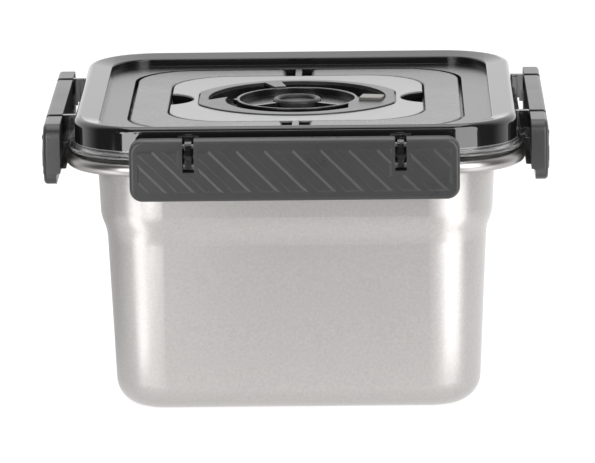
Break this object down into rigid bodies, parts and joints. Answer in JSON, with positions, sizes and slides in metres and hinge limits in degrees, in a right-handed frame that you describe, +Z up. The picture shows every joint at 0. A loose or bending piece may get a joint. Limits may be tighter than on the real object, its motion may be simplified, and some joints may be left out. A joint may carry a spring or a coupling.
{
  "type": "vacuum seal canister",
  "caption": "Square steel food canister with a smoky clip-on lid, hinged latch bars, fold-flat carry handles and a vacuum valve with a lever ring.",
  "frame": {"origin": "middle of the base, on the surface it stands on", "axes": "+Z up, front of the canister towards -Y, +X to the right seen from the front"},
  "size_m": [0.2194, 0.2194, 0.1289],
  "materials": {
    "satin_steel": "satin, with a polished lip",
    "smoky_plastic": "glossy smoky moulding",
    "grey_panel": "fine satin moulding",
    "bezel_grey": "satin moulding",
    "handle_grey": "satin moulding",
    "latch_grey": "fine matte moulding",
    "lever_cream": "satin moulding",
    "black_silicone": "matte silicone",
    "clear_silicone": "translucent white silicone",
    "pin_steel": "drawn wire"
  },
  "bodies": {
    "canister": {"steel_canister": "satin_steel"},
    "lid": {"lid_shell": "smoky_plastic", "lid_gasket": "clear_silicone", "centre_panel": "grey_panel", "bezel_plate": "bezel_grey", "valve_guide": "smoky_plastic", "front_handle_pins": "pin_steel", "rear_handle_pins": "pin_steel"},
    "release": {"release_ring": "smoky_plastic", "lever_tab": "lever_cream", "ring_retainer": "smoky_plastic"},
    "valve": {"valve_plug": "black_silicone", "valve_stem": "smoky_plastic"},
    "handle_left": {"left_handle": "handle_grey"},
    "handle_right": {"right_handle": "handle_grey"},
    "latch_front": {"front_latch": "latch_grey", "front_latch_pins": "pin_steel"},
    "latch_right": {"right_latch": "latch_grey", "right_latch_pins": "pin_steel"},
    "latch_rear": {"rear_latch": "latch_grey", "rear_latch_pins": "pin_steel"},
    "latch_left": {"left_latch": "latch_grey", "left_latch_pins": "pin_steel"}
  },
  "joints": [
    {"name": "lid_lift", "type": "slide", "parent": "canister", "child": "lid", "axis": [0, 0, 1], "range_m": [0, 0.06]},
    {"name": "release_turn", "type": "hinge", "parent": "lid", "child": "release", "pos_m": [0, 0, 0.12], "axis": [0, 0, 1], "range_deg": [0, 88]},
    {"name": "valve_rise", "type": "slide", "parent": "lid", "child": "valve", "axis": [0, 0, 1], "range_m": [0, 0.002]},
    {"name": "right_handle_fold", "type": "hinge", "parent": "lid", "child": "handle_right", "pos_m": [0.008, 0, 0.1219], "axis": [0, -1, 0], "range_deg": [0, 90]},
    {"name": "left_handle_fold", "type": "hinge", "parent": "lid", "child": "handle_left", "pos_m": [-0.008, 0, 0.1219], "axis": [0, 1, 0], "range_deg": [0, 90]},
    {"name": "front_latch_swing", "type": "hinge", "parent": "lid", "child": "latch_front", "pos_m": [0, -0.105, 0.1224], "axis": [-1, 0, 0], "range_deg": [-6, 120]},
    {"name": "right_latch_swing", "type": "hinge", "parent": "lid", "child": "latch_right", "pos_m": [0.105, 0, 0.1224], "axis": [0, -1, 0], "range_deg": [-6, 120]},
    {"name": "rear_latch_swing", "type": "hinge", "parent": "lid", "child": "latch_rear", "pos_m": [0, 0.105, 0.1224], "axis": [1, 0, 0], "range_deg": [-6, 120]},
    {"name": "left_latch_swing", "type": "hinge", "parent": "lid", "child": "latch_left", "pos_m": [-0.105, 0, 0.1224], "axis": [0, 1, 0], "range_deg": [-6, 120]}
  ],
  "couplings": [
    {"joint": "valve_rise", "follows": "release_turn", "m_per_rad": 0.0013}
  ]
}
